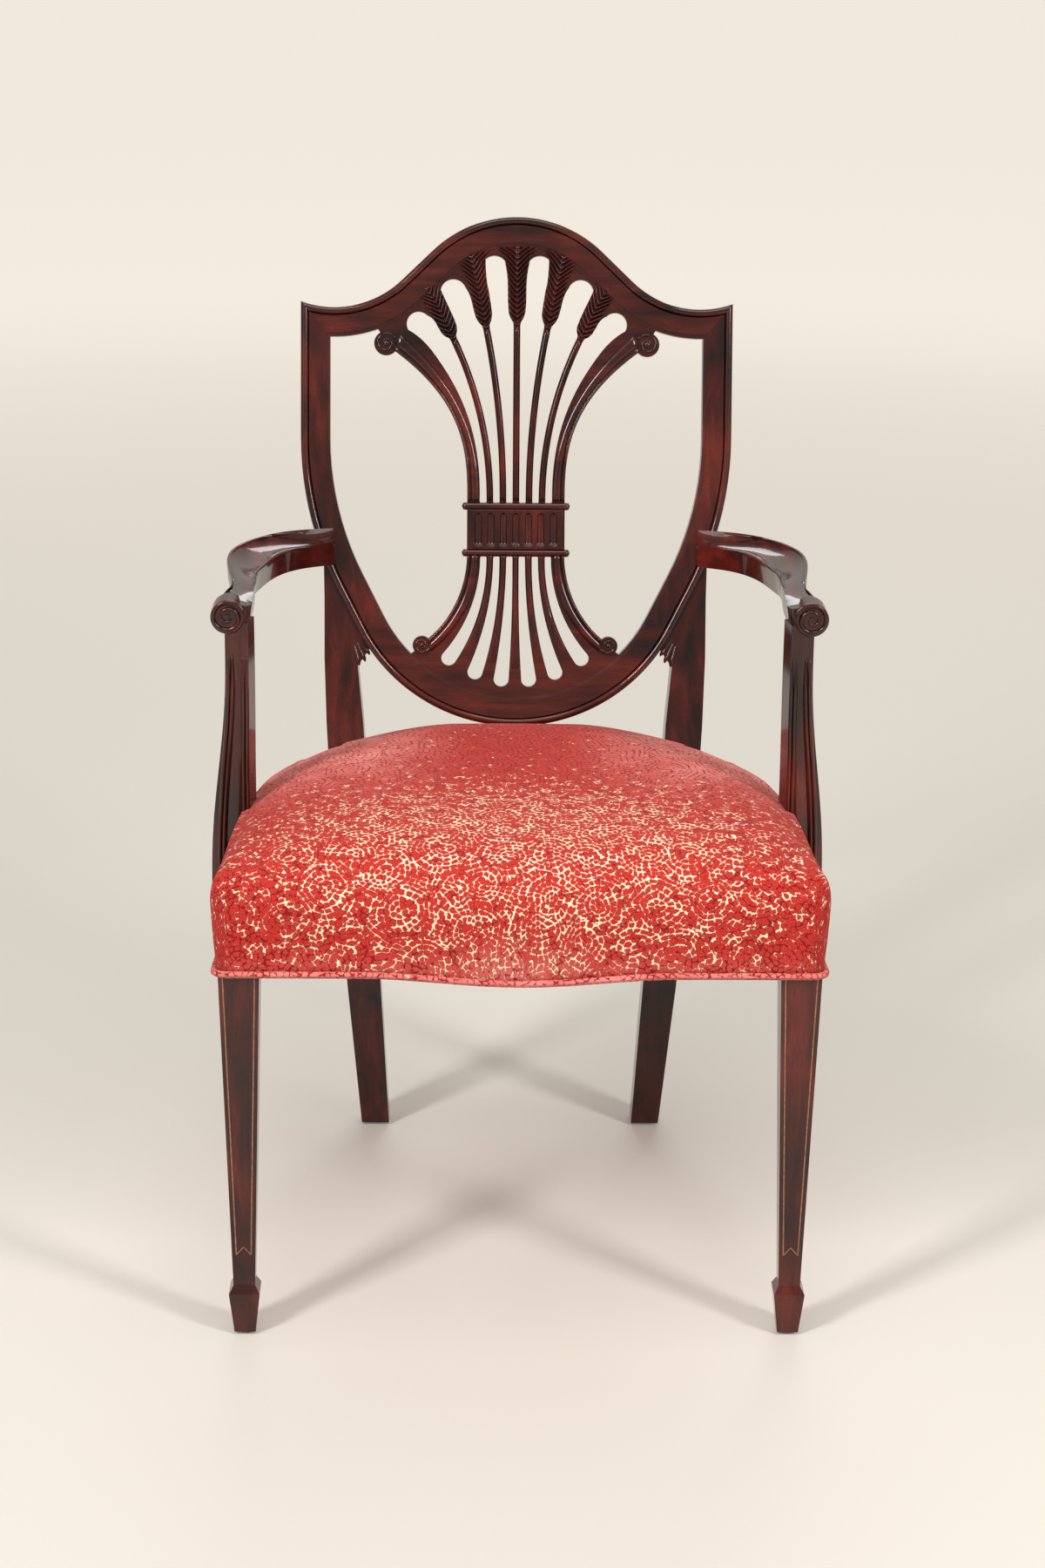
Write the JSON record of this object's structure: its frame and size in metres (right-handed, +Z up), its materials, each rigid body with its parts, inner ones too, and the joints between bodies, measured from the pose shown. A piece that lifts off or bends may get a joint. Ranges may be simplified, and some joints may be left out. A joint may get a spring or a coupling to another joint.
{
  "type": "shield back armchair",
  "caption": "Armchair with a shield-shaped pierced back, scrolled arms, tapered spade-foot legs and an upholstered serpentine seat.",
  "frame": {"origin": "on the floor under the middle of the chair's outline", "axes": "+X to the right in the picture, +Y to the chair's back, +Z up"},
  "size_m": [0.5928, 0.6091, 0.9801],
  "materials": {
    "mahogany": "dark red-brown mahogany under a glossy lacquer",
    "beech": "plain unfinished frame timber, hidden by the cover",
    "patterned_cover": "woven cover with raised red dots in swirls on cream",
    "wadding": "off-white padding",
    "jute": "coarse jute webbing",
    "calico": "black open-weave dust cloth",
    "steel": "plain steel"
  },
  "bodies": {
    "root": {"rear_post_left": "mahogany", "rear_post_right": "mahogany", "crest_rail": "mahogany", "shield_rail": "mahogany", "splat": "mahogany", "arm_left": "mahogany", "arm_right": "mahogany", "arm_support_left": "mahogany", "arm_support_right": "mahogany", "front_leg_left": "mahogany", "front_leg_right": "mahogany", "front_rail": "beech", "side_rail_left": "beech", "side_rail_right": "beech", "rear_rail": "beech", "corner_block_front_left": "beech", "corner_block_front_right": "beech", "corner_block_rear_left": "beech", "corner_block_rear_right": "beech", "webbing": "jute", "seat_pad": "wadding", "seat_cover": "patterned_cover", "seat_welt": "patterned_cover", "dust_cover": "calico", "glides": "steel", "rail_dowels": "beech", "shield_dowels": "beech", "arm_screws": "steel", "support_screws": "steel", "block_screws": "steel"}
  },
  "joints": []
}
